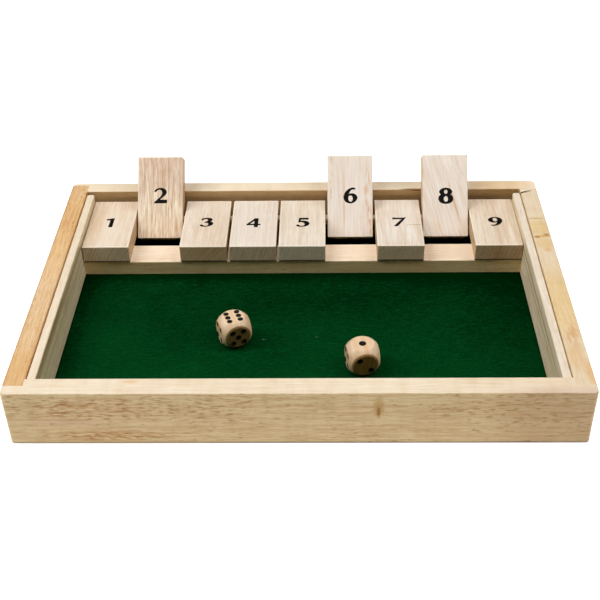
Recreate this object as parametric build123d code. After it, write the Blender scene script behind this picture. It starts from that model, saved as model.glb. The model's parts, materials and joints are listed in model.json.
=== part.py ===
from build123d import *
from math import asin, atan2, degrees, hypot
import os

# Shut the box game: a shallow wooden tray with nine number tiles that flip over one rod.
# Millimetres. Origin at the bottom centre of the box, +X right, +Y back, +Z up.

# Number tiles
tile_count = 9
tile_width = 26.65
tile_gap = 1.2                # mean gap between two tiles side by side
tile_length = 48.6
tile_thickness = 10.6
tile_tail = 11.9              # bottom end of a tile to the middle of its rod hole
tile_edge_radius = 0.55
raised_tiles = (2, 6, 8)      # stand up against the back rail, the others lie flat
# how far each tile has slid along the rod, left to right, as shares of the gap
tile_side_slides = (-0.15, -0.5, -0.25, 0.1, 0.25, 0.4, 0.55, 0.65, 0.25)

# Pivot rod
rod_radius = 2.0
rod_running_clearance = 0.06  # radial, between the rod and the tiles
rod_seat_clearance = 0.02     # radial, between the rod and the inner strips
rod_end_clearance = 0.3       # between each rod end and its side rail

# Room that the tiles need
tile_overhang = 0.4           # front end of a lying tile in front of the rest bar
tile_rest_clearance = 0.05    # lying tile above the rest bar
tail_floor_clearance = 0.82   # swinging tail above the felt
tail_back_clearance = 2.32    # swinging tail in front of the back rail
lean_clearance = 0.1          # raised tile off the edge of the back rail
rail_above_tiles = 5.05       # top of the rails above a lying tile

# Rails
front_rail_thickness = 11.0
back_rail_thickness = 9.5
side_rail_thickness = 10.0
front_corner_radius = 1.8
back_corner_radius = 3.5
rail_edge_radius = 0.6
front_lap_cover = 5.8         # front rail's wood in front of each side rail's end
back_left_cover = 2.5         # back rail's wood behind the left rail's end
slant_seam_run = 4.0          # forward run of the slanted seam at the back right, from outside in
slant_seam_gap = 0.6          # opening at the inner end of that seam
toe_corner_radius = 1.2       # inner corner of the back rail beside that seam

# Tray
tray_depth = 117.85           # front rail to rest bar
rest_bar_depth = 16.65
rest_bar_edge_radius = 0.5
board_lift = 3.3              # underside of the board above the surface that the box stands on
board_thickness = 4.0
board_groove_depth = 3.0
board_edge_clearance = 0.3
felt_thickness = 1.0
felt_edge_clearance = 0.2
strip_thickness = 4.45
strip_seam_gap = 0.25         # open seam between a strip and its side rail
strip_below_rail = 0.9
strip_edge_radius = 0.7
strip_back_end_radius = 1.6
strip_back_gap_left = 2.0     # back end of a strip to the back rail
strip_back_gap_right = 3.0

# Dice
die_edge = 16.0
die_flat_diameter = 12.0      # flat circle that the rounding leaves on each face
die_seat_clearance = 0.05
pip_diameter = 2.6
ace_pip_diameter = 3.4
pip_depth = 0.6
pip_column = 2.9              # pips sideways from the middle of a face
pip_row = 3.3                 # pips up and down from the middle of a face
# place on the felt from the middle of the tray, turn about +Z in degrees, and numbers shown
dice = {
    "die_1": dict(x=-34.8, y=-1.7, turn=21.3, top=6, bottom=1, front=5, back=2, left=4, right=3),
    "die_2": dict(x=32.0, y=-24.0, turn=10.8, top=1, bottom=6, front=2, back=5, left=4, right=3),
}

# Places across the width
tile_pitch = tile_width + tile_gap
inner_width = tile_count * tile_pitch
side_rail_inner_x = inner_width / 2 + strip_thickness + strip_seam_gap
box_width = 2 * (side_rail_inner_x + side_rail_thickness)

# Places from front to back
tail_swing = hypot(tile_tail, tile_thickness / 2)
rod_from_bar_front = tile_length - tile_tail - tile_overhang
well_depth = rod_from_bar_front + tail_swing + tail_back_clearance
box_depth = front_rail_thickness + tray_depth + well_depth + back_rail_thickness
front_inner_y = -box_depth / 2 + front_rail_thickness
bar_front_y = front_inner_y + tray_depth
rod_y = bar_front_y + rod_from_bar_front
back_inner_y = box_depth / 2 - back_rail_thickness
tray_middle_y = front_inner_y + tray_depth / 2

# Places from bottom to top
board_top = board_lift + board_thickness
felt_top = board_top + felt_thickness
rod_z = felt_top + tail_floor_clearance + tail_swing
bar_top = rod_z - tile_thickness / 2 - tile_rest_clearance
rail_top = rod_z + tile_thickness / 2 + rail_above_tiles
strip_top = rail_top - strip_below_rail

cut_past = 2.0                # how far a cutting body runs past what it cuts


def flip_angle():
    """Degrees from lying flat to leaning on the rounded inner edge of the back rail."""
    edge_y = back_inner_y + rail_edge_radius - rod_y
    edge_z = rail_top - rail_edge_radius - rod_z
    offset = tile_thickness / 2 + rail_edge_radius + lean_clearance
    slope = atan2(edge_z, edge_y) + asin(offset / hypot(edge_y, edge_z))
    return 180 - degrees(slope)


def block(x_range, y_range, z_range):
    size = [high - low for low, high in (x_range, y_range, z_range)]
    low_corner = (x_range[0], y_range[0], z_range[0])
    return Pos(*low_corner) * Box(*size, align=(Align.MIN, Align.MIN, Align.MIN))


def column(points):
    """Upright cutting body over a plan outline, taller than the rails."""
    outline = make_face(Polyline(*points, close=True))
    return Pos(0, 0, -cut_past) * extrude(outline, rail_top + 2 * cut_past)


# Rails

def rail_ring():
    """All four rails in one ring, with rounded corners, eased edges and the board's groove."""
    plan = Rectangle(box_width, box_depth)
    plan = fillet(plan.vertices().group_by(Axis.Y)[0], front_corner_radius)
    plan = fillet(plan.vertices().group_by(Axis.Y)[-1], back_corner_radius)
    ring = extrude(plan, rail_top)
    hole_depth = back_inner_y - front_inner_y
    hole = Rectangle(2 * side_rail_inner_x, hole_depth)
    hole = fillet(hole.vertices().group_by(Axis.Y)[-1].sort_by(Axis.X)[-1], toe_corner_radius)
    hole = Pos(0, (front_inner_y + back_inner_y) / 2, 0) * hole
    ring -= Pos(0, 0, -cut_past) * extrude(hole, rail_top + 2 * cut_past)
    ring = fillet(ring.edges().group_by(Axis.Z)[-1], rail_edge_radius)
    ring = fillet(ring.edges().group_by(Axis.Z)[0], rail_edge_radius)
    groove_x = side_rail_inner_x + board_groove_depth
    groove_front = front_inner_y - board_groove_depth
    groove_back = back_inner_y + board_groove_depth
    return ring - block((-groove_x, groove_x), (groove_front, groove_back), (board_lift, board_top))


def left_rail_plan():
    outer_x = -box_width / 2 - cut_past
    front_y = -box_depth / 2 + front_lap_cover
    back_y = box_depth / 2 - back_left_cover
    return column([(outer_x, front_y), (-side_rail_inner_x, front_y),
                   (-side_rail_inner_x, back_y), (outer_x, back_y)])


def right_rail_plan(inner_gap):
    """Plan of the right rail, whose back end is cut on a slant that opens by inner_gap inside."""
    outer_x = box_width / 2 + cut_past
    front_y = -box_depth / 2 + front_lap_cover
    seam_run = slant_seam_run + inner_gap
    inner_back_y = back_inner_y - seam_run
    outer_back_y = back_inner_y + seam_run * cut_past / side_rail_thickness
    return column([(outer_x, front_y), (side_rail_inner_x, front_y),
                   (side_rail_inner_x, inner_back_y), (outer_x, outer_back_y)])


def rails():
    ring = rail_ring()
    side_x = box_width / 2 + cut_past
    side_y = box_depth / 2 + cut_past
    tall = (-cut_past, rail_top + cut_past)
    front_half = block((-side_x, side_x), (-side_y, 0), tall)
    back_half = block((-side_x, side_x), (0, side_y), tall)
    left = left_rail_plan()
    right_seat = right_rail_plan(0)
    return {
        "front_rail": (ring & front_half) - left - right_seat,
        "back_rail": (ring & back_half) - left - right_seat,
        "left_rail": ring & left,
        "right_rail": ring & right_rail_plan(slant_seam_gap),
    }


# Tray

def bottom_board():
    reach = board_groove_depth - board_edge_clearance
    half_x = side_rail_inner_x + reach
    return block((-half_x, half_x), (front_inner_y - reach, back_inner_y + reach), (board_lift, board_top))


def felt_sheet():
    half_x = inner_width / 2 - felt_edge_clearance
    front_y = front_inner_y + felt_edge_clearance
    back_y = back_inner_y - felt_edge_clearance
    return block((-half_x, half_x), (front_y, back_y), (board_top, felt_top))


def inner_strip(side, back_gap):
    """Thin wall inside a side rail that holds one end of the rod; side is -1 left, +1 right."""
    faces = sorted([side * inner_width / 2, side * (inner_width / 2 + strip_thickness)])
    strip = block(faces, (front_inner_y, back_inner_y - back_gap), (board_top, strip_top))
    back_corners = strip.edges().filter_by(Axis.Z).group_by(Axis.Y)[-1]
    strip = fillet(back_corners, strip_back_end_radius)
    top_edges = strip.faces().sort_by(Axis.Z)[-1].edges()
    front_top_edge = top_edges.sort_by(Axis.Y)[0]
    strip = fillet([edge for edge in top_edges if edge != front_top_edge], strip_edge_radius)
    return strip - rod_body(rod_radius + rod_seat_clearance, box_width)


def tile_rest_bar():
    bar = block((-inner_width / 2, inner_width / 2), (bar_front_y, bar_front_y + rest_bar_depth),
                (felt_top, bar_top))
    top_edges = bar.edges().filter_by(Axis.X).group_by(Axis.Z)[-1]
    return fillet(top_edges, rest_bar_edge_radius)


def rod_body(radius, length):
    return Pos(0, rod_y, rod_z) * Rot(0, 90, 0) * Cylinder(radius, length)


def pivot_rod():
    return rod_body(rod_radius, 2 * (side_rail_inner_x - rod_end_clearance))


# Tiles

def tile_x(number):
    slide = tile_side_slides[(number - 1) % len(tile_side_slides)]
    return (number - (tile_count + 1) / 2) * tile_pitch + slide * tile_gap


def number_tile(number):
    """Tile lying flat with its long arm to the front, or swung up over the rod."""
    tile = block((-tile_width / 2, tile_width / 2), (tile_tail - tile_length, tile_tail),
                 (-tile_thickness / 2, tile_thickness / 2))
    tile = fillet(tile.edges(), tile_edge_radius)
    tile -= Rot(0, 90, 0) * Cylinder(rod_radius + rod_running_clearance, tile_width + 2 * cut_past)
    if number in raised_tiles:
        tile = Rot(-flip_angle(), 0, 0) * tile
    return Pos(tile_x(number), rod_y, rod_z) * tile


# Dice

def pip_places(number):
    """Pip centres on a face as seen from outside: middle, diagonal pairs, then the side pair."""
    places = [(0, 0)] if number % 2 else []
    if number > 1:
        places += [(-pip_column, pip_row), (pip_column, -pip_row)]
    if number > 3:
        places += [(pip_column, pip_row), (-pip_column, -pip_row)]
    if number == 6:
        places += [(-pip_column, 0), (pip_column, 0)]
    return places


def face_planes():
    half = die_edge / 2
    return {
        "top": Plane((0, 0, half), x_dir=(1, 0, 0), z_dir=(0, 0, 1)),
        "bottom": Plane((0, 0, -half), x_dir=(1, 0, 0), z_dir=(0, 0, -1)),
        "front": Plane((0, -half, 0), x_dir=(1, 0, 0), z_dir=(0, -1, 0)),
        "back": Plane((0, half, 0), x_dir=(-1, 0, 0), z_dir=(0, 1, 0)),
        "left": Plane((-half, 0, 0), x_dir=(0, -1, 0), z_dir=(-1, 0, 0)),
        "right": Plane((half, 0, 0), x_dir=(0, 1, 0), z_dir=(1, 0, 0)),
    }


def pip_ball(diameter):
    """Ball that dents a face by pip_depth and leaves a round mouth of the given diameter."""
    radius = (diameter ** 2 / 4 + pip_depth ** 2) / (2 * pip_depth)
    return Pos(0, 0, radius - pip_depth) * Sphere(radius)


def die(facts):
    rounding = Sphere(hypot(die_edge / 2, die_flat_diameter / 2))
    cube = Box(die_edge, die_edge, die_edge) & rounding
    for side, plane in face_planes().items():
        number = facts[side]
        ball = pip_ball(ace_pip_diameter if number == 1 else pip_diameter)
        for x, y in pip_places(number):
            cube -= plane * Pos(x, y, 0) * ball
    centre_z = felt_top + die_seat_clearance + die_edge / 2
    return Pos(facts["x"], tray_middle_y + facts["y"], centre_z) * Rot(0, 0, facts["turn"]) * cube


def assembly():
    pieces = rails()
    pieces["bottom_board"] = bottom_board()
    pieces["felt_sheet"] = felt_sheet()
    pieces["left_inner_strip"] = inner_strip(-1, strip_back_gap_left)
    pieces["right_inner_strip"] = inner_strip(1, strip_back_gap_right)
    pieces["tile_rest_bar"] = tile_rest_bar()
    pieces["pivot_rod"] = pivot_rod()
    for number in range(1, tile_count + 1):
        pieces[f"number_tile_{number}"] = number_tile(number)
    for name, facts in dice.items():
        pieces[name] = die(facts)
    return pieces


os.makedirs("parts", exist_ok=True)
for name, piece in assembly().items():
    export_step(piece, f"parts/{name}.step")

print(f"box {box_width:.3f} x {box_depth:.3f} x {rail_top:.3f}")
print(f"rod y {rod_y:.4f} z {rod_z:.4f}, flip {flip_angle():.3f} degrees")
print(f"felt top {felt_top:.3f}, bar {bar_front_y:.3f} to {bar_front_y + rest_bar_depth:.3f}, top {bar_top:.3f}")
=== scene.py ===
import json
import math
from types import SimpleNamespace

import bmesh
import bpy
import numpy as np
from mathutils import Euler, Matrix, Vector


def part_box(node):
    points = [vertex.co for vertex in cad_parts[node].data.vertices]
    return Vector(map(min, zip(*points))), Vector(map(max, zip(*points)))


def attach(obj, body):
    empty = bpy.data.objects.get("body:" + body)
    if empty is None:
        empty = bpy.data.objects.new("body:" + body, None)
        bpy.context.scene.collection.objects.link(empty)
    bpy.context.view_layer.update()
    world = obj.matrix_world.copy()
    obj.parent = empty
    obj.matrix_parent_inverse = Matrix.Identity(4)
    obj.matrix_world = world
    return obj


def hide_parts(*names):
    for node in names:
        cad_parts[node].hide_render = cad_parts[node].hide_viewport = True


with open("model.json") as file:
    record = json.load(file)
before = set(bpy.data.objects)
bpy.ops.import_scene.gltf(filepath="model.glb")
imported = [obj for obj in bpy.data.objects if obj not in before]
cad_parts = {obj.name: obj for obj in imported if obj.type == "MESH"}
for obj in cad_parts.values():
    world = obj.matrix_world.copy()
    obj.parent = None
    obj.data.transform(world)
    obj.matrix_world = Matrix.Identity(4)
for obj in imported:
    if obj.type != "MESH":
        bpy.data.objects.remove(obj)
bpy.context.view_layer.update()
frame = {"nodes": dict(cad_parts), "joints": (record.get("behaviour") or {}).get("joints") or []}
mm = 0.001
print("frame loaded:", len(frame["nodes"]), "nodes")


def tone(red, green, blue):  # screen colour 0 to 255 as linear light
    share = np.array([red, green, blue]) / 255
    return tuple(np.where(share <= 0.04045, share / 12.92, ((share + 0.055) / 1.055) ** 2.4)) + (1.0,)


class Value:  # a number socket; Python's operators add Math nodes to its finish
    def __init__(self, finish, socket):
        self.finish = finish
        self.socket = socket

    def math(self, operation, first, second=0.0):
        return self.finish.node("ShaderNodeMath", {"operation": operation}, {0: first, 1: second})

    def __add__(self, other):
        return self.math("ADD", self, other)

    def __radd__(self, other):
        return self.math("ADD", other, self)

    def __sub__(self, other):
        return self.math("SUBTRACT", self, other)

    def __rsub__(self, other):
        return self.math("SUBTRACT", other, self)

    def __mul__(self, other):
        return self.math("MULTIPLY", self, other)

    def __rmul__(self, other):
        return self.math("MULTIPLY", other, self)

    def __truediv__(self, other):
        return self.math("DIVIDE", self, other)

    def __pow__(self, other):
        return self.math("POWER", self, other)

    def larger(self, other):
        return self.math("MAXIMUM", self, other)

    def smaller(self, other):
        return self.math("MINIMUM", self, other)

    def absolute(self):
        return self.math("ABSOLUTE", self)


# the numbers of a Mix node's colour sockets, which share their names with others
mixSockets = dict(share=0, first=6, second=7, result=2)


class Finish:  # the nodes of a material or a world
    def __init__(self, owner):
        self.owner = owner
        owner.use_nodes = True
        self.tree = owner.node_tree
        self.tree.nodes.clear()

    # Any node: its type, its settings first, then the values or links of its sockets. It gives the
    # output with a name or number, or a list of several for a tuple.
    def node(self, kind, settings=None, sockets=None, out=0):
        made = self.tree.nodes.new(kind)
        for key, setting in (settings or {}).items():
            setattr(made, key, setting)
        for key, given in (sockets or {}).items():
            if isinstance(given, Value):
                self.tree.links.new(given.socket, made.inputs[key])
            else:
                made.inputs[key].default_value = given
        if isinstance(out, tuple):
            return [Value(self, made.outputs[key]) for key in out]
        return Value(self, made.outputs[out]) if len(made.outputs) else None

    def mix(self, first, second, share, blend="MIX"):  # colours; share 0 is the first
        m = mixSockets
        settings = {"data_type": "RGBA", "blend_type": blend}
        sockets = {m["share"]: share, m["first"]: first, m["second"]: second}
        return self.node("ShaderNodeMix", settings, sockets, m["result"])

    def tinted(self, colour, tint, share):  # multiplied by a tint's red, green and blue
        return self.mix(colour, (*tint[:3], 1.0), share, "MULTIPLY")

    def step(self, value, low, high):  # smooth 0 to 1 as value goes from low to high
        sockets = {"Value": value, "From Min": low, "From Max": high}
        return self.node("ShaderNodeMapRange", {"interpolation_type": "SMOOTHSTEP"}, sockets)

    def place(self):  # metres in the object's own frame
        return self.node("ShaderNodeTexCoord", out="Object")

    # a place as seen from a centre, turned back by an Euler and measured in a unit on each axis
    def seenFrom(self, vector, centre, unit, turn=(0, 0, 0)):
        sockets = {"Vector": vector, "Location": centre, "Rotation": turn, "Scale": unit}
        return self.node("ShaderNodeMapping", {"vector_type": "TEXTURE"}, sockets)

    def stretch(self, vector, scale, shift=(0, 0, 0), turn=(0, 0, 0)):
        sockets = {"Vector": vector, "Location": shift, "Rotation": turn, "Scale": scale}
        return self.node("ShaderNodeMapping", {"vector_type": "POINT"}, sockets)

    def noise(self, vector, scale=1.0, detail=2.0, rough=0.5, twist=0.0):
        sockets = {"Vector": vector, "Scale": scale, "Detail": detail, "Roughness": rough,
                   "Distortion": twist}
        return self.node("ShaderNodeTexNoise", None, sockets)

    # noise drawn out by its own scale on each axis
    def drawnNoise(self, vector, scale, detail=2.0, rough=0.5, shift=(0, 0, 0), twist=0.0):
        return self.noise(self.stretch(vector, scale, shift), 1.0, detail, rough, twist)

    def lineNoise(self, number, detail):  # noise of one number
        sockets = {"W": number, "Scale": 1.0, "Detail": detail}
        return self.node("ShaderNodeTexNoise", {"noise_dimensions": "1D"}, sockets)

    def vectors(self, operation, first, second, out="Vector"):
        return self.node("ShaderNodeVectorMath", {"operation": operation}, {0: first, 1: second}, out)

    def length(self, vector):
        return self.vectors("LENGTH", vector, (0, 0, 0), "Value")

    def split(self, vector):
        return self.node("ShaderNodeSeparateXYZ", None, {"Vector": vector}, ("X", "Y", "Z"))

    # shifts places by slow noise, so that straight grain wanders
    def bend(self, vector, scale, reach):
        sockets = {"Vector": self.stretch(vector, scale), "Scale": 1.0}
        drift = self.node("ShaderNodeTexNoise", None, sockets, "Color")
        drift = self.vectors("SUBTRACT", drift, (0.5, 0.5, 0.5))
        return self.vectors("ADD", vector, self.vectors("MULTIPLY", drift, reach))

    def facing(self, axis):  # 1 where a surface faces along an axis, -1 where it faces the other way
        normal = self.node("ShaderNodeTexCoord", out="Normal")
        return self.vectors("DOT_PRODUCT", normal, tuple(axis), "Value")

    # 1 in the core of a soft ball with its own radius on each axis, 0 outside it; noise makes its
    # edge ragged, and 0.5 leaves it clean
    def spot(self, vector, centre, radii, noise, core=0.35, raggedness=0.9):
        distance = self.length(self.seenFrom(vector, centre, radii))
        return 1.0 - self.step(distance + (noise - 0.5) * raggedness, core, 1.0)

    def bump(self, height, depth):
        return self.node("ShaderNodeBump", None, {"Strength": 1.0, "Distance": depth, "Height": height})

    def surface(self, sockets):  # ends a material
        shader = self.node("ShaderNodeBsdfPrincipled", None, sockets)
        self.node("ShaderNodeOutputMaterial", None, {"Surface": shader})
        return self.owner


def middleOf(name):  # the middle of a CAD piece's box at rest
    low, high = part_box(name)
    return (Vector(low) + Vector(high)) / 2


def dress(name, material):
    slots = frame["nodes"][name].data.materials
    if len(slots):
        slots[0] = material
    else:
        slots.append(material)


def newObject(name, data):
    made = bpy.data.objects.new(name, data)
    bpy.context.scene.collection.objects.link(made)
    return made


def newPiece(name, mesh, material, body):
    mesh.materials.clear()
    mesh.materials.append(material)
    piece = newObject(name, mesh)
    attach(piece, body)
    return piece


def smoothMesh(name, points, faces):
    mesh = bpy.data.meshes.new(name)
    mesh.from_pydata(points.tolist(), [], faces)
    mesh.polygons.foreach_set("use_smooth", np.ones(len(mesh.polygons), bool))
    return mesh


# Rings are noise of the distance to a pith line that runs beside the piece. Streaks and pores are
# noise drawn out along the grain, so they turn into dots on a sawn end. Lengths are millimetres,
# tints multiply the colour, a bare strength is how far a noise goes, and what ends in From is
# where a smooth step begins and where it is full. Spots: place, radii, tint (above 255 it
# brightens) and the kind of their edge.
ragged, streaky, clean = range(3)
woodDefaults = dict(
    light=(238, 219, 190), dark=(222, 194, 156), darkShare=0.45,  # share of dark before any noise
    # the narrow faces and ends are tinted darker: partly grain, partly painted shade
    side=(0.93, 0.84, 0.65), end=(0.93, 0.86, 0.66),  # tints of narrow faces and of sawn ends
    turn=(0, 0, 0), seed=0.0, seedShift=(37.0, 1.7, 0.0),  # where in the plank the piece was cut
    wander=(0.013, 0.03, 0.03), wave=5.0,  # slow noise that bends the grain, and its reach
    pith=(26, 34), ringStep=5.0, ringDetail=3.0,
    rings=0.7, streaks=1.1, fine=0.9, blotch=0.6, broadFrom=(0.35, 0.75), broadCalm=0.0,
    pore=(0.6, 0.47, 0.33), pores=0.5, poreLength=6.0, poreAcross=0.95, poreShare=0.42,
    poreCrowd=0.45, poreFrom=(1.0, 1.22), broadPores=0.5,
    shade=(0.86, 0.8, 0.7), figure=0.3, figureFrom=(0.4, 0.75),  # soft bands across the grain
    spots=(), streakSway=0.5, streakFrom=(0.4, 0.66), farSideFrom=(0.6, 0.9),
    sawnFrom=(0.6, 0.9), sawnRings=0.55, sawnTint=(0.62, 0.56, 0.44), sawnPitch=1.1,
    sawnDetail=2.0, sawnSway=0.5, sawnRingsFrom=(0.4, 0.65),
    # pale edges: partly wear, partly painted highlight
    edge=0.3, edgeTone=(255, 244, 224), edgeSway=0.6, edgeFrom=(0.25, 1.1),
    rough=0.5, fineRough=0.3, poreRough=0.1, specular=0.3, coat=0.0, coatRough=0.3,
    relief=0.05, streakHeight=0.3, fineHeight=0.5)

# scale along, across and into the grain, detail, roughness and shift of each noise
grainNoises = dict(
    streaks=((0.045, 0.75, 0.75), 3.0, 0.6), fine=((0.14, 2.0, 2.0), 3.0, 0.6),
    blotch=((0.014, 0.05, 0.05), 2.0, 0.5), crowd=((0.016, 0.07, 0.07), 2.0, 0.5, (0, 5, 0)),
    figure=((0.16, 0.05, 0.05), 2.0, 0.6, (3, 0, 0)))


# What varies in one wood: its noises, its pores and which way a face looks. In this and the next
# functions f is the finish that is being made, s its settings, and g what this one gives.
def woodGrain(f, s, local):
    shifted = f.stretch(local, (1, 1, 1), tuple(s["seed"] * part for part in s["seedShift"]))
    grain = f.bend(shifted, s["wander"], (0, s["wave"], s["wave"]))
    across, into = f.split(grain)[1:]
    a = across + s["pith"][0]
    b = into + s["pith"][1]
    radius = (a * a + b * b) ** 0.5
    g = SimpleNamespace(**{key: f.drawnNoise(grain, *facts) for key, facts in grainNoises.items()})
    g.rings = f.lineNoise(radius / s["ringStep"], s["ringDetail"])
    g.thinRings = f.lineNoise(radius * s["sawnPitch"], s["sawnDetail"])
    g.dash = f.drawnNoise(grain, (1 / s["poreLength"], s["poreAcross"], s["poreAcross"]))
    g.spin = Euler(s["turn"]).to_matrix()
    g.sawn = f.step(f.facing(g.spin @ Vector((1, 0, 0))).absolute(), *s["sawnFrom"])
    g.broad = f.step(f.facing(g.spin @ Vector((0, 0, 1))).absolute(), *s["broadFrom"])
    limits = [limit - s["poreShare"] for limit in s["poreFrom"]]
    pores = f.step(g.dash + (g.crowd - 0.5) * s["poreCrowd"], *limits)
    g.pores = pores * (1.0 - g.broad * (1.0 - s["broadPores"]))
    return g


def woodColour(f, s, g):
    drawn = (g.rings - 0.5) * s["rings"] + (g.streaks - 0.5) * s["streaks"] + (g.fine - 0.5) * s["fine"]
    share = s["darkShare"] + drawn * (1.0 - g.broad * s["broadCalm"]) + (g.blotch - 0.5) * s["blotch"]
    colour = f.mix(tone(*s["light"]), tone(*s["dark"]), share)
    colour = f.tinted(colour, s["pore"], g.pores * s["pores"])
    return f.tinted(colour, s["shade"], f.step(g.figure, *s["figureFrom"]) * s["figure"])


def spotted(f, s, g, local, colour):
    for place, radii, spotTone, kind in s["spots"]:
        inside = f.spot(local, place, radii, 0.5 if kind == clean else g.streaks)
        if kind == streaky:
            inside = inside * f.step(g.dash + (g.streaks - 0.5) * s["streakSway"], *s["streakFrom"])
        colour = f.tinted(colour, tone(*spotTone), inside)
    return colour


# Narrow faces and sawn ends, rings on the ends, then the edges. The narrow faces and ends are tinted
# darker: partly their grain, partly painted shade on faces turned from the lamps. farSide is a tint
# of its own where a narrow face looks across the grain's positive way, size is that of a block whose
# two broad faces have pale edges, partly wear and partly painted highlight, and darkEdge is the
# place, radii and tint of one painted shadow along an edge.
def edged(f, s, g, local, colour):
    colour = f.tinted(colour, s["side"], 1.0 - g.sawn.larger(g.broad))
    colour = f.tinted(colour, s["end"], g.sawn)
    if "farSide" in s:
        outwards = f.facing(g.spin @ Vector((0, 1, 0)))
        colour = f.tinted(colour, s["farSide"], f.step(outwards, *s["farSideFrom"]))
    rings = f.step(g.thinRings + (g.fine - 0.5) * s["sawnSway"], *s["sawnRingsFrom"])
    colour = f.tinted(colour, s["sawnTint"], g.sawn * rings * s["sawnRings"])
    if "size" in s:
        gaps = [full / 2 - part.absolute() for full, part in zip(s["size"], f.split(local))]
        nearest = gaps[2].larger(gaps[0].smaller(gaps[1]))
        # pale edges: partly wear, partly painted highlight
        wornAndHighlit = 1.0 - f.step(nearest + (g.fine - 0.5) * s["edgeSway"], *s["edgeFrom"])
        colour = f.mix(colour, tone(*s["edgeTone"]), wornAndHighlit * s["edge"])
    # one edge darkened: a painted shadow
    if "darkEdge" in s:
        place, radii, shadowTint = s["darkEdge"]
        colour = f.tinted(colour, tone(*shadowTint), f.spot(local, place, radii, 0.5))
    return colour


def woodFinish(name, centre, **changes):
    s = {**woodDefaults, **changes}
    f = Finish(bpy.data.materials.new(name))
    # millimetres along, across and into the grain, from the middle of the piece
    local = f.seenFrom(f.place(), centre, (mm, mm, mm), s["turn"])
    g = woodGrain(f, s, local)
    colour = edged(f, s, g, local, spotted(f, s, g, local, woodColour(f, s, g)))
    rough = s["rough"] + (g.fine - 0.5) * s["fineRough"] + g.pores * s["poreRough"]
    height = g.streaks * s["streakHeight"] + g.fine * s["fineHeight"] - g.pores
    return f.surface({"Base Color": colour, "Roughness": rough, "Normal": f.bump(height, s["relief"] * mm),
                      "Specular IOR Level": s["specular"], "Coat Weight": s["coat"],
                      "Coat Roughness": s["coatRough"]})


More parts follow.
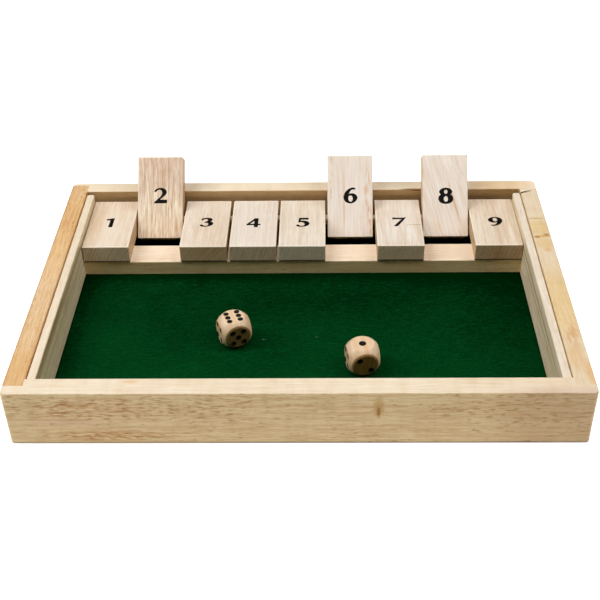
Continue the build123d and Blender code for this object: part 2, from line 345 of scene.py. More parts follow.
quarter = math.radians(90)
sideways = (0, 0, quarter)  # turns the grain of a piece that runs from front to back
railWood = dict(
    front_rail=dict(
        light=(246, 233, 210), dark=(228, 202, 168), pore=(0.68, 0.54, 0.4), seed=1.3, pith=(8, 30),
        rings=1.4, streaks=3.0, fine=2.4, pores=0.9, poreLength=4.5, poreShare=0.46, broadPores=0.05,
        broadCalm=0.6, blotch=0.9, figure=0.4, side=(1.04, 0.92, 0.66),
        spots=[((38.2, -5.5, 7.6), (3.4, 3, 8.4), (236, 220, 190), ragged),
               ((38.2, -5.5, 4.4), (1.3, 3, 4.6), (208, 180, 126), ragged),
               ((-104, -5.5, 6), (52, 4, 9), (220, 186, 156), streaky),
               ((-88, -5.5, -11), (50, 4, 4.5), (224, 188, 148), streaky),
               ((-112, -5.5, -2), (26, 4, 4), (252, 244, 250), ragged),
               ((-79, 3, 16), (5, 1.6, 3), (248, 232, 210), ragged),
               ((128, -5.5, 0), (44, 8, 50), (236, 228, 226), ragged),
               # a dark line along the front face's bottom edge: painted contact shadow
               ((0, -5.5, -16.3), (400, 3, 1.3), (132, 108, 78), ragged)]),
    back_rail=dict(
        light=(247, 232, 206), dark=(236, 213, 181), seed=4.1, pith=(20, 25),
        # the side tint darkens the narrow faces and farSide lifts the outer one back: painted shade on the
        # inner face
        side=(0.8, 0.66, 0.44), farSide=(1.22, 1.3, 1.45), broadPores=0.2, broadCalm=0.3, pores=0.8,
        spots=[((118, 2, 16), (24, 9, 8), (247, 234, 216), ragged),
               # the inner face's right part greyed darker: painted shade
               ((104, -3, 8), (60, 1.8, 16), (226, 224, 218), ragged),
               ((66.5, -2.45, 16.1), (11, 0.95, 0.9), (164, 142, 112), clean),
               ((68.5, -2.7, 15.5), (4.5, 0.6, 0.5), (170, 140, 104), clean)]),
    left_rail=dict(
        light=(233, 203, 162), dark=(214, 167, 113), pore=(0.74, 0.56, 0.38), seed=2.2, pith=(15, 20),
        streaks=1.7, fine=2.0, pores=1.0, poreLength=3.5, poreShare=0.43, broadPores=1.0, blotch=1.0,
        spots=[((42, 0, 16), (60, 12, 6), (254, 247, 232), ragged),
               ((-78, 0, 16), (22, 12, 6), (252, 243, 226), ragged),
               ((0, 5.2, 16.5), (300, 1.4, 1.4), (214, 206, 196), ragged)], turn=sideways),
    right_rail=dict(
        light=(235, 218, 190), dark=(224, 200, 164), pore=(0.8, 0.66, 0.48), seed=6.4, pith=(12, 18),
        wave=11.0, streaks=1.8, broadPores=0.6,
        spots=[((54.7, 0, 16), (0.8, 8, 3), (230, 208, 172), ragged),
               ((45, 0, 16), (12, 9, 5), (252, 242, 214), ragged),
               ((36.4, 0, 16), (1.3, 8, 3), (236, 212, 170), ragged),
               ((35.4, 3.0, 16), (1.5, 2.4, 3), (206, 182, 132), ragged),
               ((37.9, -2.6, 16), (1.5, 2.4, 3), (208, 186, 140), ragged),
               ((29.5, 0, 16), (8, 7, 5), (252, 240, 214), ragged),
               ((23, -1, 16), (3, 3, 3), (248, 230, 212), ragged),
               ((-24, 0, 16), (40, 12, 5), (254, 243, 216), ragged),
               ((-50, 0, 16), (16, 6, 4), (243, 222, 198), streaky),
               ((-68, 1, 16), (13, 6, 4), (252, 239, 220), ragged),
               ((-79, -4, 16), (12, 3.8, 4), (252, 230, 202), ragged),
               ((82.7, 4.5, 16), (1.0, 1.7, 3), (48, 32, 18), clean),
               ((83.5, 2.5, 16), (0.9, 1.9, 3), (76, 54, 34), clean),
               ((84.4, 0.3, 16), (0.7, 2.3, 3), (156, 126, 90), clean)], turn=sideways),
    # the tints of the strips' faces toward the tray, the right one lifted above the left, and the darker
    # bands along them are painted light and shade
    left_inner_strip=dict(
        light=(244, 229, 207), dark=(224, 204, 173), seed=3.7, side=(1.0, 0.99, 0.83),
        broadPores=0.0, broadCalm=0.6, streaks=3.4, fine=2.0,
        spots=[((-20, -2.2, 8), (120, 1.4, 2.4), (222, 211, 190), ragged),
               ((-10, -2.2, 1.5), (110, 1.4, 0.9), (226, 216, 196), ragged),
               ((-50, -2.2, 10.5), (60, 1.2, 2.4), (206, 196, 180), ragged)], turn=sideways),
    right_inner_strip=dict(
        light=(239, 226, 208), dark=(219, 201, 176), seed=8.8, side=(1.12, 1.09, 0.93),
        broadPores=0.3, broadCalm=0.4, streaks=3.4, fine=2.0,
        spots=[((-10, 2.2, 5.5), (110, 1.4, 1.1), (208, 194, 168), ragged),
               ((-20, 2.2, 1.5), (120, 1.4, 0.8), (216, 203, 180), ragged)], turn=sideways),
    tile_rest_bar=dict(
        light=(250, 234, 213), dark=(238, 210, 176), seed=5.5, pith=(30, 12), pores=0.5,
        streaks=2.4, fine=1.6, broadPores=0.2, broadCalm=0.3, side=(1.04, 0.98, 0.68),
        spots=[((70, 0, 6), (40, 14, 10), (244, 238, 234), ragged),
               # thin dark lines under the gaps between lying tiles 3, 4 and 5: painted shade
               ((-41.8, 0, 8), (0.7, 16, 3), (132, 112, 92), clean),
               ((-13.9, 0, 8), (0.7, 16, 3), (132, 112, 92), clean)]),
    pivot_rod=dict(light=(252, 243, 226), dark=(240, 222, 196), seed=7.1, pith=(3, 6), side=(1, 1, 1)),
    bottom_board=dict(light=(206, 178, 138), dark=(168, 132, 92), seed=9.9, pith=(5, 60), ringStep=9.0),
)
for name, look in railWood.items():
    dress(name, woodFinish(name + "_wood", middleOf(name), **look))
print("rails, strips, ledge, rod and board finished")

joints = {joint["name"]: joint for joint in frame["joints"]}
hinge = joints["tile_1_flip"]
rodPlace = Vector(hinge["pos_m"])
flipTurn = math.radians(hinge["range_deg"][1])
tileNumbers = range(1, 10)
raised = [n for n in tileNumbers if joints[f"tile_{n}_flip"]["range_deg"][0] < 0]
lyingLow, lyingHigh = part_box("number_tile_1")
tileLength = lyingHigh.y - lyingLow.y
tileThick = lyingHigh.z - lyingLow.z
tileMiddle = lyingHigh.y - rodPlace.y - tileLength / 2  # from the rod to a lying tile's middle
tileSize = (tileLength / mm, (lyingHigh.x - lyingLow.x) / mm, tileThick / mm)
# Painted shadow: each lying tile's lower front edge is darkened where shade falls under its end.
lowerArrisShadow = ((1.6, 60, 1.5), (104, 98, 80))  # dark front lower edge of a lying tile
# each tile is cut from another part of the plank: the seed's first value and step, then for both
# ways of the pith a first value, a step and the number of tiles after which it comes again
tileCut = dict(seed=(11.7, 3.3), pith=((4, 5, 3), (14, 6, 4)))
# The tiles' narrow sides and ends are tinted darker: partly grain, partly painted shade in the gaps between
# tiles and on the ends.
tileDefaults = dict(rings=0.6, streaks=1.6, fine=1.4, pores=0.35, pore=(0.86, 0.76, 0.64), figure=0.15,
                    broadPores=1.0, side=(0.84, 0.7, 0.5), end=(0.98, 0.9, 0.66), wave=2.5, edge=0.5,
                    slant=0.0)
# Tiles 2, 6 and 8 stand raised: their paler light tones and tile 2's brightening spot are painted light,
# making up for their tilted faces catching less of the lamps.
tileWood = {
    1: dict(light=(235, 218, 197), dark=(215, 188, 158), blotch=2.4, streaks=1.8, fine=1.0,
            end=(1.13, 1.1, 0.98), spots=[((-8, 11, 5.3), (28, 9, 4), (247, 241, 232), ragged)]),
    2: dict(light=(251, 234, 213), dark=(211, 169, 134), rings=0.5, streaks=1.9, fine=2.3, pores=0.6,
            pore=(0.82, 0.66, 0.55), poreShare=0.46, poreLength=10.0,
            spots=[((12, 0, -5.3), (22, 24, 4), (266, 272, 270), ragged)]),
    3: dict(light=(237, 223, 207), dark=(219, 196, 169), blotch=1.8, streaks=2.0, end=(1.1, 0.94, 0.66)),
    4: dict(light=(239, 229, 216), dark=(222, 203, 184), fine=1.2, streaks=1.4, blotch=1.7,
            end=(1.12, 1.02, 0.8)),
    5: dict(light=(237, 225, 209), dark=(217, 198, 173), streaks=1.7, fine=1.1, blotch=1.7,
            end=(1.17, 1.19, 1.11), sawnRings=0.25,
            spots=[((-12, 0, 5.3), (22, 24, 4), (261, 264, 268), ragged)]),
    6: dict(light=(254, 244, 233), dark=(240, 220, 201), streaks=1.8, fine=1.0,
            spots=[((-3, -10.2, -5.3), (24, 2.6, 4), (244, 220, 198), streaky),
                   ((12, -11.6, -5.3), (15, 1.7, 4), (238, 208, 178), streaky),
                   ((2, 3.6, -5.3), (26, 1.0, 4), (246, 230, 212), ragged),
                   ((-10, 11.2, -5.3), (22, 1.4, 4), (240, 220, 198), streaky)]),
    7: dict(light=(234, 222, 207), dark=(214, 192, 169), streaks=1.7, fine=1.2, blotch=1.8,
            end=(1.19, 1.14, 0.94), sawnRings=0.25,
            spots=[((-3.1, -9.0, 5.3), (0.5, 7, 1), (226, 206, 184), ragged),
                   ((-12, 3, 5.3), (20, 18, 4), (262, 266, 270), ragged)]),
    8: dict(light=(254, 244, 233), dark=(238, 216, 194), slant=-16.0, streaks=2.2, fine=1.0,
            spots=[((-20, 10, -5.3), (9, 3.2, 4), (246, 222, 190), ragged),
                   ((6, -4, -5.3), (18, 0.7, 4), (228, 204, 178), ragged),
                   ((14, 9, -5.3), (12, 2.2, 4), (250, 234, 212), streaky)]),
    9: dict(light=(233, 218, 197), dark=(208, 181, 152), streaks=1.7, fine=1.1, blotch=2.0,
            end=(0.96, 0.83, 0.62)),
}


def tilePlace(n):  # turns a tile's own frame, lying with the rod at the origin, to its rest place
    low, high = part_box(f"number_tile_{n}")
    onRod = Matrix.Translation(((low.x + high.x) / 2, rodPlace.y, rodPlace.z))
    return onRod @ Matrix.Rotation(-flipTurn if n in raised else 0.0, 4, "X")


for n in tileNumbers:
    look = {**tileDefaults, **tileWood[n]}
    place = tilePlace(n)
    slant = math.radians(look.pop("slant"))
    look["turn"] = tuple((place.to_3x3() @ Matrix.Rotation(quarter + slant, 3, "Z")).to_euler())
    look["seed"] = tileCut["seed"][0] + tileCut["seed"][1] * n
    look["pith"] = tuple(first + step * (n % cycle) for first, step, cycle in tileCut["pith"])
    if not slant:
        look["size"] = tileSize
    # only lying tiles get the painted shadow under their front end
    if n not in raised:
        look["darkEdge"] = ((-tileSize[0] / 2, 0, -tileSize[2] / 2), *lowerArrisShadow)
    dress(f"number_tile_{n}", woodFinish(f"tile_{n}_wood", place @ Vector((0, tileMiddle, 0)), **look))
print("tiles finished")

# Each outline is a ring of knots in millimetres, (across, up) from the numeral's middle. A knot
# marked 1 is a corner, and the curve runs smoothly through the rest.
numerals = {
    1: [[(2.1, 4.6, 1), (1.9, -4.6, 1), (-0.2, -4.6, 1), (0.1, 2.7, 1), (-0.7, 2.6, 0), (-2.05, 2.75, 1),
         (-2.2, 3.85, 1), (-0.7, 4.0, 0), (0.55, 4.6, 1)]],
    2: [[(-3.65, 2.7, 1), (-3.05, 3.4, 0), (-2.1, 4.1, 0), (-0.4, 4.55, 0), (1.7, 4.35, 0), (3.3, 3.2, 0),
         (3.6, 1.9, 0), (3.1, 0.8, 0), (1.9, -0.3, 0), (-0.4, -2.3, 1), (-0.3, -2.5, 1), (3.8, -2.5, 1),
         (3.7, -4.4, 1), (-3.7, -4.4, 1), (-3.6, -3.8, 1), (-2.1, -2.55, 0), (-0.6, -1.2, 0), (0.6, 0.1, 0),
         (1.05, 1.3, 0), (1.0, 2.5, 0), (0.4, 3.35, 0), (-0.7, 3.7, 0), (-1.7, 3.4, 0), (-2.3, 2.8, 0),
         (-2.75, 2.2, 1)]],
    3: [[(-3.4, 2.7, 1), (-2.8, 3.9, 0), (-1.3, 4.5, 0), (0.5, 4.6, 0), (2.3, 4.1, 0), (3.05, 2.9, 0),
         (2.75, 1.6, 0), (1.95, 0.65, 1), (3.0, 0.1, 0), (3.7, -1.1, 0), (3.4, -2.6, 0), (2.2, -3.8, 0),
         (0.2, -4.5, 0), (-1.7, -4.6, 0), (-3.1, -4.1, 0), (-3.75, -3.3, 0), (-3.5, -2.6, 0), (-2.7, -2.6, 0),
         (-1.6, -3.6, 0), (-0.3, -3.9, 0), (0.8, -3.3, 0), (1.15, -2.0, 0), (0.8, -1.0, 0), (-0.1, -0.55, 0),
         (-1.3, -0.4, 1), (-1.3, 0.3, 1), (-0.2, 0.8, 0), (0.55, 1.8, 0), (0.5, 2.9, 0), (-0.2, 3.5, 0),
         (-1.1, 3.4, 0), (-1.9, 2.9, 0), (-2.5, 2.2, 1)]],
    4: [[(2.6, 4.6, 1), (2.5, -1.2, 1), (3.6, -1.3, 0), (4.0, -1.6, 1), (3.8, -2.4, 1), (2.5, -2.45, 1),
         (2.4, -4.6, 1), (0.4, -4.6, 1), (0.4, -2.45, 1), (-3.9, -2.5, 1), (-4.0, -1.6, 1), (0.6, 4.6, 1)],
        [(0.45, 2.3, 1), (-2.3, -1.2, 1), (0.45, -1.2, 1)]],
    5: [[(-2.1, 4.6, 1), (3.3, 4.6, 1), (3.2, 2.9, 1), (-1.1, 2.9, 1), (-1.4, 1.2, 1), (-0.2, 1.55, 0),
         (1.3, 1.45, 0), (2.9, 0.7, 0), (3.75, -1.0, 0), (3.3, -2.9, 0), (1.8, -4.1, 0), (-0.2, -4.6, 0),
         (-2.2, -4.5, 0), (-3.4, -3.9, 0), (-3.7, -3.1, 0), (-3.1, -2.5, 0), (-2.3, -2.9, 0), (-1.6, -3.7, 0),
         (-0.3, -3.95, 0), (0.9, -3.3, 0), (1.15, -1.8, 0), (0.5, -0.4, 0), (-0.8, 0.15, 0),
         (-2.5, -0.1, 1)]],
    6: [[(2.8, 3.55, 1), (2.65, 4.3, 1), (1.25, 4.6, 0), (-0.25, 4.15, 0), (-2.0, 3.05, 0), (-3.25, 1.45, 0),
         (-3.95, -0.45, 0), (-3.75, -2.45, 0), (-2.5, -3.95, 0), (-0.25, -4.6, 0), (2.0, -4.05, 0),
         (3.5, -2.7, 0), (4.0, -1.35, 0), (3.4, 0.05, 0), (2.0, 0.95, 0), (0.25, 1.15, 0), (-1.15, 0.65, 1),
         (-0.75, 1.7, 0), (0.0, 2.95, 0), (1.1, 3.6, 0)],
        [(0.0, 0.1, 0), (-1.05, -0.4, 0), (-1.4, -1.85, 0), (-0.95, -3.3, 0), (0.05, -3.85, 0),
         (1.05, -3.3, 0), (1.4, -1.85, 0), (1.0, -0.4, 0)]],
    7: [[(-3.85, 4.3, 1), (2.7, 4.2, 0), (3.85, 4.75, 1), (3.1, 3.0, 0), (-1.4, -4.7, 1), (-3.5, -4.6, 1),
         (1.5, 2.65, 1), (-3.3, 2.6, 0), (-3.9, 2.4, 1)]],
    8: [[(0.05, 4.7, 0), (-2.3, 4.15, 0), (-3.8, 2.4, 0), (-2.75, 0.75, 1), (-3.9, -0.4, 0), (-4.25, -1.9, 0),
         (-3.3, -3.7, 0), (0.1, -4.7, 0), (3.5, -3.6, 0), (4.25, -1.7, 0), (3.8, -0.1, 0), (2.7, 0.7, 1),
         (3.75, 2.4, 0), (2.4, 4.15, 0)],
        [(0.05, 3.7, 0), (-0.8, 3.3, 0), (-1.1, 2.35, 0), (-0.8, 1.4, 0), (0.05, 1.0, 0), (0.9, 1.4, 0),
         (1.15, 2.35, 0), (0.9, 3.3, 0)],
        [(0.1, -0.1, 0), (-0.95, -0.65, 0), (-1.25, -1.85, 0), (-0.95, -3.1, 0), (0.1, -3.65, 0),
         (1.1, -3.1, 0), (1.4, -1.85, 0), (1.1, -0.65, 0)]],
}
numerals[9] = [[(-x, -y, corner) for x, y, corner in ring] for ring in numerals[6]]
numeralPlaces = {1: (-1.15, 0.9), 2: (0.15, 1.05), 3: (0.3, 0.85), 4: (-0.45, 0.0), 5: (0.2, 0.2),
                 6: (0.25, 0.45), 7: (0.5, 0.2), 8: (0.35, -0.15), 9: (0.65, -0.15)}
ink = dict(proud=0.02, sunk=0.02, spread=0.12, curveSteps=7, weld=0.001, hiddenShift=(0.5, 0.4))
inkPaint = dict(grit=2600.0, fresh=(11, 10, 10), worn=(40, 34, 30), wornFrom=(0.56, 0.74), rough=0.5,
                wornRough=0.25, gritRough=0.0, relief=0.02, specular=0.15)


# Cubic Hermite curve through a closed ring of knots: at a smooth knot its direction is the mean
# of both chords' directions, at a corner it is the chord's own, and its speed is the chord's length.
def ringPoints(ring, steps):
    knots = np.array(ring, float)
    places = knots[:, :2]
    corner = knots[:, 2:] > 0.5
    chord = np.roll(places, -1, 0) - places
    length = np.linalg.norm(chord, axis=1, keepdims=True)
    ahead = chord / length
    mean = ahead + np.roll(ahead, 1, 0)
    mean = mean / np.linalg.norm(mean, axis=1, keepdims=True)
    leave = np.where(corner, ahead, mean) * length
    arrive = np.where(np.roll(corner, -1, 0), ahead, np.roll(mean, -1, 0)) * length
    t = (np.arange(steps) / steps)[None, :, None]
    start, end = places[:, None], np.roll(places, -1, 0)[:, None]
    curve = ((2 * t**3 - 3 * t**2 + 1) * start + (t**3 - 2 * t**2 + t) * leave[:, None]
             + (3 * t**2 - 2 * t**3) * end + (t**3 - t**2) * arrive[:, None])
    return curve.reshape(-1, 2)


# The rings filled as a flat curve, with the inner ones as holes, given a thickness and made a mesh.
def numeralMesh(n):
    flat = bpy.data.curves.new("outline", "CURVE")
    flat.dimensions = "2D"
    flat.fill_mode = "BOTH"
    flat.extrude = (ink["proud"] + ink["sunk"]) / 2
    flat.offset = ink["spread"]
    for ring in numerals[n]:
        points = ringPoints(ring, ink["curveSteps"])
        spline = flat.splines.new("POLY")
        spline.points.add(len(points) - 1)
        rows = np.column_stack([points, np.zeros(len(points)), np.ones(len(points))])
        spline.points.foreach_set("co", rows.ravel())
        spline.use_cyclic_u = True
    drawn = bpy.data.objects.new("outline", flat)
    mesh = bpy.data.meshes.new_from_object(drawn)
    bpy.data.objects.remove(drawn)
    bpy.data.curves.remove(flat)
    shell = bmesh.new()
    shell.from_mesh(mesh)
    bmesh.ops.remove_doubles(shell, verts=shell.verts, dist=ink["weld"])
    bmesh.ops.recalc_face_normals(shell, faces=shell.faces)
    shell.to_mesh(mesh)
    shell.free()
    return mesh


def paintFinish(name, s):  # dark paint, worn paler in specks
    f = Finish(bpy.data.materials.new(name))
    grit = f.noise(f.place(), s["grit"], detail=3.0, rough=0.6)
    worn = f.step(grit, *s["wornFrom"])
    colour = f.mix(tone(*s["fresh"]), tone(*s["worn"]), worn)
    rough = s["rough"] + worn * s["wornRough"] + grit * s["gritRough"]
    return f.surface({"Base Color": colour, "Roughness": rough, "Normal": f.bump(grit, s["relief"] * mm),
                      "Specular IOR Level": s["specular"]})


inkMaterial = paintFinish("printed_ink", inkPaint)
lift = tileThick / 2 + (ink["proud"] - ink["sunk"]) / 2 * mm
faceTurns = {"top": Matrix.Translation((0, tileMiddle, lift)),
             "bottom": Matrix.Translation((0, tileMiddle, -lift)) @ Matrix.Rotation(math.pi, 4, "X")}
for n in tileNumbers:
    for face, faceTurn in faceTurns.items():
        x, y = numeralPlaces[n]
        if face != ("bottom" if n in raised else "top"):  # the face that the photo doesn't show
            x, y = x * ink["hiddenShift"][0], y * ink["hiddenShift"][1]
        mesh = numeralMesh(n)
        shift = Matrix.Translation((x * mm, y * mm, 0))
        mesh.transform(tilePlace(n) @ faceTurn @ shift @ Matrix.Scale(mm, 4))
        newPiece(f"numeral_{n}_{face}", mesh, inkMaterial, f"tile_{n}")
print("numerals printed")

# how each die is turned, the tint of its sawn faces (partly end grain, partly painted shade on the faces
# turned from the lamps), and the number of pips on each face
diceFacts = {
    "die_1": dict(turn=21.3, end=(0.28, 0.225, 0.1),
                  faces=dict(top=6, bottom=1, front=5, back=2, left=4, right=3)),
    "die_2": dict(turn=10.8, end=(0.35, 0.275, 0.115),
                  faces=dict(top=1, bottom=6, front=2, back=5, left=4, right=3)),
}
pips = dict(edge=16.0, mouth=2.6, aceMouth=3.4, deep=0.6, column=2.9, row=3.3, skin=0.09, rim=0.15,
            sides=24, rings=5)
dieWood = dict(light=(240, 220, 192), dark=(220, 172, 120), pore=(0.75, 0.6, 0.45), rings=0.9, streaks=0.5,
               fine=0.5, pores=0.3, ringStep=2.4, pith=(5, 9), wave=1.5, blotch=1.0, rough=0.38,
               relief=0.01, coat=0.25, side=(1, 0.95, 0.86), sawnFrom=(0.7, 0.76), figure=0.2)
dieSeed = 46.0
pipPaint = dict(grit=3200.0, fresh=(12, 8, 6), worn=(34, 23, 17), wornFrom=(0.45, 0.75), rough=0.45,
                wornRough=0.0, gritRough=0.3, relief=0.03, specular=0.2)
# out of each face, and to the right on it as seen from outside
faceAxes = {"top": ((0, 0, 1), (1, 0, 0)), "bottom": ((0, 0, -1), (1, 0, 0)),
            "front": ((0, -1, 0), (1, 0, 0)), "back": ((0, 1, 0), (-1, 0, 0)),
            "left": ((-1, 0, 0), (0, -1, 0)), "right": ((1, 0, 0), (0, 1, 0))}


def pipPlaces(number):
    c, r = pips["column"], pips["row"]
    places = [(0, 0)] if number % 2 else []
    places += [(-c, r), (c, -r)] if number > 1 else []
    places += [(c, r), (-c, -r)] if number > 3 else []
    places += [(-c, 0), (c, 0)] if number == 6 else []
    return places


# Paint in one dimple, by the angle round it and the share of its radius: a cap of the dimple's
# ball, lifted by a skin, and a second one as far below that closes it.
def pipCap(mouth):
    sides, rings = pips["sides"], pips["rings"]
    ball = (mouth**2 / 4 + pips["deep"] ** 2) / (2 * pips["deep"])
    share = np.linspace(1, 0, rings + 1)[:-1]
    angle = np.linspace(0, 2 * np.pi, sides, endpoint=False)
    radius = share[:, None] * (mouth / 2 + pips["rim"]) * np.ones(sides)
    floor = ball - pips["deep"] - np.sqrt(ball**2 - np.minimum(radius, mouth / 2) ** 2)
    cap = np.stack([radius * np.cos(angle), radius * np.sin(angle), floor], -1).reshape(-1, 3)
    cap = np.vstack([cap, [[0, 0, -pips["deep"]]]])
    skin = [0, 0, pips["skin"]]
    i = np.arange(sides)
    j = np.roll(i, -1)
    first = np.arange(rings - 1)[:, None] * sides
    quads = np.stack([first + i, first + j, first + sides + j, first + sides + i], -1).reshape(-1, 4)
    tip = rings * sides
    tris = np.stack([tip - sides + i, tip - sides + j, np.full(sides, tip)], -1)
    below = len(cap)
    wall = np.stack([j, i, i + below, j + below], -1)
    groups = [quads, tris, quads[:, ::-1] + below, tris[:, ::-1] + below, wall]
    return np.vstack([cap + skin, cap - skin]), [face for group in groups for face in group.tolist()]


# all caps of a die, each turned from its own face to the die's, in millimetres from its middle
def pipCaps(facts):
    points, faces = [], []
    for side, number in facts["faces"].items():
        out, right = (Vector(axis) for axis in faceAxes[side])
        turnIn = np.array([right, out.cross(right), out])
        for px, py in pipPlaces(number):
            cap, capFaces = pipCap(pips["aceMouth"] if number == 1 else pips["mouth"])
            start = sum(len(group) for group in points)
            points.append((cap + [px, py, pips["edge"] / 2]) @ turnIn)
            faces += [[k + start for k in face] for face in capFaces]
    return np.vstack(points), faces


pipMaterial = paintFinish("pip_paint", pipPaint)
for name, facts in diceFacts.items():
    centre = middleOf(name)
    spin = Matrix.Rotation(math.radians(facts["turn"]), 4, "Z")
    grainTurn = tuple((spin @ Matrix.Rotation(quarter, 4, "Z")).to_euler())
    look = {**dieWood, "end": facts["end"], "turn": grainTurn, "seed": dieSeed + facts["turn"]}
    dress(name, woodFinish(name + "_wood", centre, **look))
    points, faces = pipCaps(facts)
    points = points * mm @ np.array(spin.to_3x3()).T + np.array(centre)
    newPiece(name + "_pips", smoothMesh(name + "_pips", points, faces), pipMaterial, name)
print("dice finished")

feltShape = dict(columns=168, rows=114, seed=5, waves=24, pitch=(0.004, 0.06), phase=(0, 6.3), below=0.02,
                 sink=0.14, edgeDrop=0.25, edgeWidth=1.2)
# scales are per millimetre, and what ends in From is where a smooth step begins and where it is full
feltLook = dict(
    deep=(0, 30, 6), bright=(10, 84, 38), rough=0.95, relief=0.25,
    hairTurns=(0.03, -0.07, 0.1), hair=(0.2, 1.0, 1.0), hairShift=9.0, fuzzFrom=(0.46, 0.8), fuzzShare=0.5,
    nub=(0.9, 1.5, 1.0), nubShare=0.9, cloud=(0.02, 0.03, 0.03), cloudShare=0.45,
    # The next two lines: a painted slope of light, brighter towards the front and left, and painted shade
    # near the rest bar and along the left strip.
    paintedLight=0.13, paintedLightAlongY=0.0035, paintedLightAlongX=0.0007,
    backFrom=(22, 35), backPaintedShade=0.3, leftFrom=(110, 126), leftPaintedShade=0.25,
    lint=(150, 180, 150), lintShare=0.4, lintScale=(0.03, 0.04, 0.04), lintBend=(0.6, 0.6, 0.6),
    lintReach=(1.5, 1.5, 1.5), lintFrom=(0.014, 0.045), lintHairFrom=(0.45, 0.6))


def feltHair(f, place):  # the highest of a few noises drawn out sideways, each turned a little
    hair = None
    for k, turn in enumerate(feltLook["hairTurns"]):
        turned = f.stretch(place, (1, 1, 1), turn=(0, 0, turn))
        shift = (k * feltLook["hairShift"], k, 0)
        strand = f.drawnNoise(turned, feltLook["hair"], detail=4.0, rough=0.7, shift=shift, twist=0.3)
        hair = strand if hair is None else hair.larger(strand)
    return hair


def feltFinish():
    s = feltLook
    f = Finish(bpy.data.materials.new("green_felt"))
    place = f.stretch(f.place(), (1 / mm, 1 / mm, 1 / mm))
    x, y = f.split(place)[:2]
    hair = feltHair(f, place)
    fuzz = f.step(hair, *s["fuzzFrom"])
    nub = f.drawnNoise(place, s["nub"], detail=2.0, rough=0.6)
    cloud = f.drawnNoise(place, s["cloud"], detail=3.0, rough=0.6)
    # painted light, brighter towards the front and left, and painted shade near the rest bar and the left
    # strip
    paintedLight = s["paintedLight"] - y * s["paintedLightAlongY"] - x * s["paintedLightAlongX"]
    dim = f.step(y, *s["backFrom"]) * s["backPaintedShade"] + f.step(0.0 - x, *s["leftFrom"]) * s["leftPaintedShade"]
    lit = fuzz * s["fuzzShare"] + (nub - 0.5) * s["nubShare"] + (cloud - 0.5) * s["cloudShare"] + paintedLight - dim
    colour = f.mix(tone(*s["deep"]), tone(*s["bright"]), lit)
    # a few pale specks of lint, ragged and far apart
    strewn = f.stretch(f.bend(place, s["lintBend"], s["lintReach"]), s["lintScale"])
    gap = f.node("ShaderNodeTexVoronoi", {"feature": "F1"}, {"Vector": strewn, "Scale": 1.0}, "Distance")
    specks = (1.0 - f.step(gap, *s["lintFrom"])) * f.step(hair, *s["lintHairFrom"])
    colour = f.mix(colour, tone(*s["lint"]), specks * s["lintShare"])
    return f.surface({"Base Color": colour, "Roughness": s["rough"], "Specular IOR Level": 0.0,
                      "Normal": f.bump(fuzz, s["relief"] * mm)})


# The top lies below the CAD sheet's by a sum of sine waves of random pitch and direction, each as
# high as the root of its pitch, and by the square of how far a point is into the rounded edge. A
# flat underside and a wall round the rim close it.
def feltMesh(low, high):
    s = feltShape
    u, v = np.meshgrid(np.linspace(0, 1, s["columns"]), np.linspace(0, 1, s["rows"]))
    x = low.x + u * (high.x - low.x)
    y = low.y + v * (high.y - low.y)
    rng = np.random.default_rng(s["seed"])
    sag = np.zeros_like(x)
    for _ in range(s["waves"]):
        pitch = rng.uniform(*s["pitch"])
        angle = rng.uniform(0, 2 * np.pi)
        wave = np.sin((x * np.cos(angle) + y * np.sin(angle)) * 2 * np.pi / pitch + rng.uniform(*s["phase"]))
        sag += wave * np.sqrt(pitch)
    sag = (sag - sag.min()) / (sag.max() - sag.min())
    rim = np.minimum(np.minimum(x - low.x, high.x - x), np.minimum(y - low.y, high.y - y))
    edge = 1 - np.clip(rim / (s["edgeWidth"] * mm), 0, 1)
    top = high.z - s["below"] * mm - sag * s["sink"] * mm - edge**2 * s["edgeDrop"] * mm
    upper = np.stack([x, y, top], -1).reshape(-1, 3)
    lower = np.stack([x, y, np.full_like(x, low.z)], -1).reshape(-1, 3)
    i = np.arange(x.size).reshape(x.shape)
    quads = np.stack([i[:-1, :-1], i[:-1, 1:], i[1:, 1:], i[1:, :-1]], -1).reshape(-1, 4)
    ring = np.concatenate([i[0, :], i[1:, -1], i[-1, -2::-1], i[-2:0:-1, 0]])
    nextOne = np.roll(ring, -1)
    wall = np.stack([ring, ring + x.size, nextOne + x.size, nextOne], -1)
    faces = np.vstack([quads, quads[:, ::-1] + x.size, wall])
    return smoothMesh("felt_cloth", np.vstack([upper, lower]), faces.tolist())


low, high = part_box("felt_sheet")
cloth = newPiece("felt_cloth", feltMesh(low, high), feltFinish(), "box")
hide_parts("felt_sheet")
print("felt laid")

stage = dict(floorSize=6.0, greyer=(245, 245, 245), whiter=(250, 250, 250), mottle=60.0, glow=0.55,
             farGlow=0.5, farFrom=(0.5, 2.0), world=0.03)


# The floor glows where the camera or a reflection sees it, and the world where the camera does, so
# that both look white and hardly light the object. The lamps' light fades outwards, and a stronger
# glow far out makes up for it.
def floorFinish():
    f = Finish(bpy.data.materials.new("white_floor"))
    place = f.place()
    mottle = f.noise(place, stage["mottle"], detail=3.0)
    colour = f.mix(tone(*stage["greyer"]), tone(*stage["whiter"]), mottle)
    inView, mirrored = f.node("ShaderNodeLightPath", out=("Is Camera Ray", "Is Glossy Ray"))
    far = f.step(f.length(place), *stage["farFrom"])
    strength = inView.larger(mirrored) * (stage["glow"] + far * stage["farGlow"])
    glow = f.node("ShaderNodeEmission", None, {"Color": (1, 1, 1, 1), "Strength": strength})
    diffuse = f.node("ShaderNodeBsdfDiffuse", None, {"Color": colour})
    total = f.node("ShaderNodeAddShader", None, {0: diffuse, 1: glow})
    f.node("ShaderNodeOutputMaterial", None, {"Surface": total})
    return f.owner


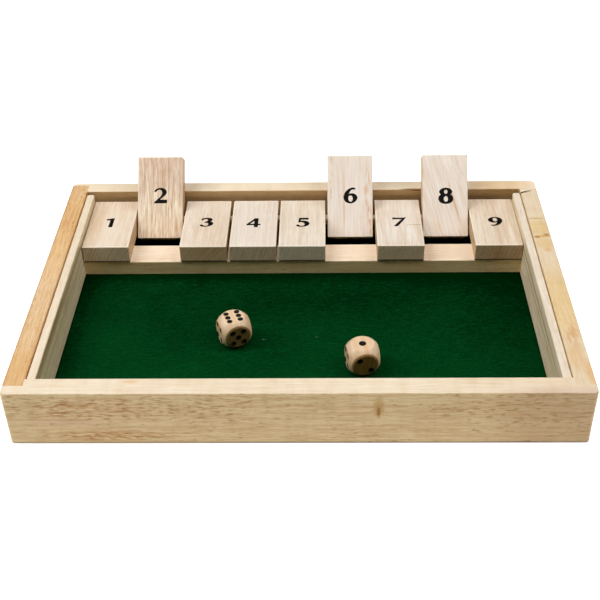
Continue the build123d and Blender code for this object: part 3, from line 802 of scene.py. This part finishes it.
def studioWorld():
    f = Finish(bpy.data.worlds.new("studio"))
    inView = f.node("ShaderNodeLightPath", out="Is Camera Ray")
    strength = stage["world"] + inView * (1.0 - stage["world"])
    back = f.node("ShaderNodeBackground", None, {"Color": (1, 1, 1, 1), "Strength": strength})
    f.node("ShaderNodeOutputWorld", None, {"Surface": back})
    return f.owner


half = stage["floorSize"] / 2
corners = [(-half, -half, 0), (half, -half, 0), (half, half, 0), (-half, half, 0)]
floorMesh = bpy.data.meshes.new("floor")
floorMesh.from_pydata(corners, [], [(0, 1, 2, 3)])
floorMesh.materials.append(floorFinish())
newObject("floor", floorMesh)
bpy.context.scene.world = studioWorld()

# place in metres, wanted light on an upward face at the origin (1 shows white as white), depth
# and width
lamps = dict(left=((-0.95, -0.09, 1.25), 0.55, 0.14, 1.3), right=((0.95, -0.09, 1.25), 0.36, 0.14, 1.3),
             top=((0.0, -0.1, 1.5), 0.24, 0.14, 1.2))
for name, (place, share, depth, width) in lamps.items():
    away = Vector(place)
    lamp = bpy.data.lights.new(name, "AREA")
    lamp.shape = "RECTANGLE"
    lamp.size = depth
    lamp.size_y = width
    # light falls with the square of the distance and with the slant at which it meets the face
    lamp.energy = math.pi**2 * away.length**3 * share / away.z
    hung = newObject(name, lamp)
    hung.location = away
    hung.rotation_euler = (-away).to_track_quat("-Z", "Y").to_euler()

# the camera, fitted to the tray's straight edges: millimetres, degrees, and pixels of the picture
shot = dict(place=(12.9, -458.4, 365.0), yaw=1.67, pitch=37.38, roll=-1.28, focal=1054.4, picture=600,
            sensor=36.0)
lens = bpy.data.cameras.new("camera")
lens.sensor_width = shot["sensor"]
lens.lens = shot["focal"] / shot["picture"] * shot["sensor"]
camera = newObject("camera", lens)
camera.matrix_world = (Matrix.Translation(Vector(shot["place"]) * mm)
                       @ Matrix.Rotation(math.radians(shot["yaw"]), 4, "Z")
                       @ Matrix.Rotation(math.radians(90 - shot["pitch"]), 4, "X")
                       @ Matrix.Rotation(math.radians(shot["roll"]), 4, "Z"))
bpy.context.scene.camera = camera
bpy.context.scene.view_settings.view_transform = "Standard"
print("stage, light and camera set")
